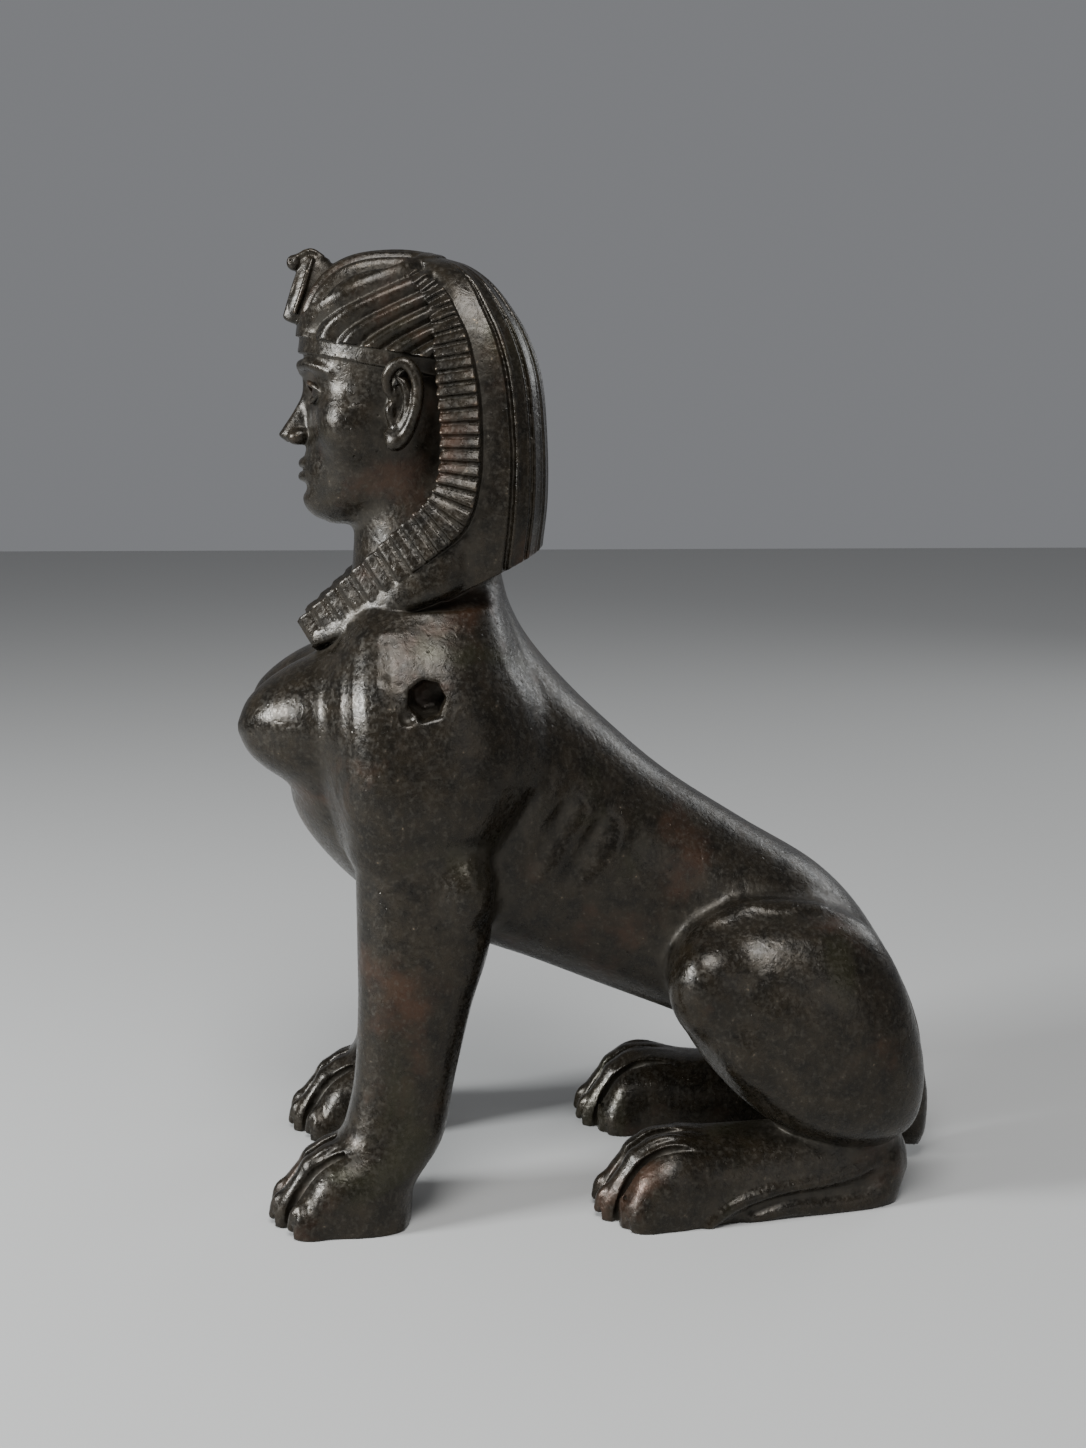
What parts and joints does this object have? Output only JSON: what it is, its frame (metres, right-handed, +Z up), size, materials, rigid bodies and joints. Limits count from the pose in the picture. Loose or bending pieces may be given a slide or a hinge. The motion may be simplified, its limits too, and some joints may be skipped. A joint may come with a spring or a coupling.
{
  "type": "sphinx statue",
  "caption": "Seated bronze sphinx with a woman's head in a striped headcloth, a lion's body and paws, a rearing cobra on the brow and empty wing sockets.",
  "frame": {"origin": "on the floor under the middle of the statue's bounding box", "axes": "+Z up, the sphinx faces -Y, its left side is +X, and the mid-plane is X = 0"},
  "size_m": [0.1676, 0.2999, 0.397],
  "materials": {
    "bronze": "cast bronze with a dark brown, glossy old patina"
  },
  "bodies": {
    "root": {"sphinx": "bronze"}
  },
  "joints": []
}
